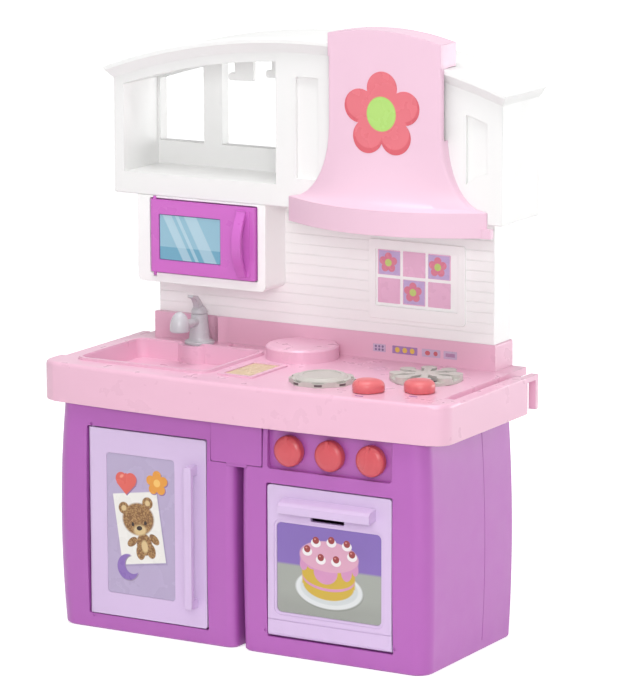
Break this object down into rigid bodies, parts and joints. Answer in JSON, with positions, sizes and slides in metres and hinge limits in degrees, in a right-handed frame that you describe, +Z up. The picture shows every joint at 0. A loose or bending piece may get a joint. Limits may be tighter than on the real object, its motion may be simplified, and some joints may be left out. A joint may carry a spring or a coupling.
{
  "type": "toy_kitchen",
  "caption": "Child's play kitchen: worktop with sink, tap and hob over a fridge and an oven, microwave in the back wall, arched shelf cabinet and flared hood above.",
  "frame": {"origin": "on the floor, under the middle of the whole toy", "axes": "+X to the viewer's right, +Y to the back, +Z up"},
  "size_m": [0.712, 0.346, 0.939],
  "materials": {
    "base_plastic": "moulded purple",
    "worktop_plastic": "glossy pink",
    "wall_plastic": "moulded white",
    "hood_plastic": "glossy pink",
    "door_plastic": "moulded lilac",
    "microwave_plastic": "glossy magenta",
    "burner_plastic": "moulded grey",
    "tap_plastic": "silver-grey plastic",
    "nut_plastic": "moulded white",
    "knob_plastic": "glossy coral",
    "screw_steel": "zinc-plated",
    "sticker_fridge": "printed film",
    "sticker_oven": "printed film",
    "sticker_microwave": "printed film",
    "sticker_flower": "printed film",
    "sticker_tiles": "printed film",
    "sticker_board": "printed film",
    "sticker_sink": "printed film",
    "sticker_burner": "printed film",
    "sticker_keypad": "printed film",
    "sticker_dial": "printed film"
  },
  "bodies": {
    "frame": {"left_cabinet": "base_plastic", "right_cabinet": "base_plastic", "bridge_plate": "base_plastic", "worktop": "worktop_plastic", "back_wall": "wall_plastic", "upper_cabinet": "wall_plastic", "hood": "hood_plastic", "hotplate": "burner_plastic", "burner_grate": "burner_plastic", "hood_flower_sticker": "sticker_flower", "window_tile_sticker": "sticker_tiles", "chopping_board_sticker": "sticker_board", "sink_sticker": "sticker_sink", "burner_sticker": "sticker_burner", "keypad_stickers": "sticker_keypad", "dial_mark_stickers": "sticker_dial", "worktop_screws": "screw_steel", "wall_screws": "screw_steel", "upper_screws": "screw_steel"},
    "fridge_door": {"fridge_door": "door_plastic", "fridge_sticker": "sticker_fridge"},
    "oven_door": {"oven_door": "door_plastic", "oven_sticker": "sticker_oven"},
    "microwave_door": {"microwave_door": "microwave_plastic", "microwave_sticker": "sticker_microwave"},
    "control_knob_left": {"control_knob_left": "knob_plastic", "control_screw_left": "screw_steel"},
    "control_knob_middle": {"control_knob_middle": "knob_plastic", "control_screw_middle": "screw_steel"},
    "control_knob_right": {"control_knob_right": "knob_plastic", "control_screw_right": "screw_steel"},
    "hob_knob_left": {"hob_knob_left": "knob_plastic", "hob_screw_left": "screw_steel"},
    "hob_knob_right": {"hob_knob_right": "knob_plastic", "hob_screw_right": "screw_steel"},
    "tap": {"tap_body": "tap_plastic", "tap_nut": "nut_plastic"},
    "tap_lever": {"tap_lever": "tap_plastic"}
  },
  "joints": [
    {"name": "fridge_door_hinge", "type": "hinge", "parent": "frame", "child": "fridge_door", "pos_m": [-0.26125, -0.145, 0.17], "axis": [0, 0, -1], "range_deg": [0, 90]},
    {"name": "oven_door_hinge", "type": "hinge", "parent": "frame", "child": "oven_door", "pos_m": [0.16125, -0.145, 0.038], "axis": [1, 0, 0], "range_deg": [0, 90]},
    {"name": "microwave_door_hinge", "type": "hinge", "parent": "frame", "child": "microwave_door", "pos_m": [-0.27, 0.052, 0.59], "axis": [0, 0, -1], "range_deg": [0, 90]},
    {"name": "control_knob_left_turn", "type": "hinge", "parent": "frame", "child": "control_knob_left", "pos_m": [0.09075, -0.143, 0.321], "axis": [0, -1, 0], "continuous": true},
    {"name": "control_knob_middle_turn", "type": "hinge", "parent": "frame", "child": "control_knob_middle", "pos_m": [0.16125, -0.143, 0.321], "axis": [0, -1, 0], "continuous": true},
    {"name": "control_knob_right_turn", "type": "hinge", "parent": "frame", "child": "control_knob_right", "pos_m": [0.23175, -0.143, 0.321], "axis": [0, -1, 0], "continuous": true},
    {"name": "hob_knob_left_turn", "type": "hinge", "parent": "frame", "child": "hob_knob_left", "pos_m": [0.205, -0.1145, 0.417], "axis": [0, 0, 1], "continuous": true},
    {"name": "hob_knob_right_turn", "type": "hinge", "parent": "frame", "child": "hob_knob_right", "pos_m": [0.277, -0.0785, 0.417], "axis": [0, 0, 1], "continuous": true},
    {"name": "tap_swivel", "type": "hinge", "parent": "frame", "child": "tap", "pos_m": [-0.21, 0.085, 0.417], "axis": [0, 0, 1], "range_deg": [-60, 60]},
    {"name": "tap_lever_turn", "type": "hinge", "parent": "tap", "child": "tap_lever", "pos_m": [-0.21, 0.085, 0.465], "axis": [0, 0, 1], "range_deg": [-45, 45]}
  ]
}
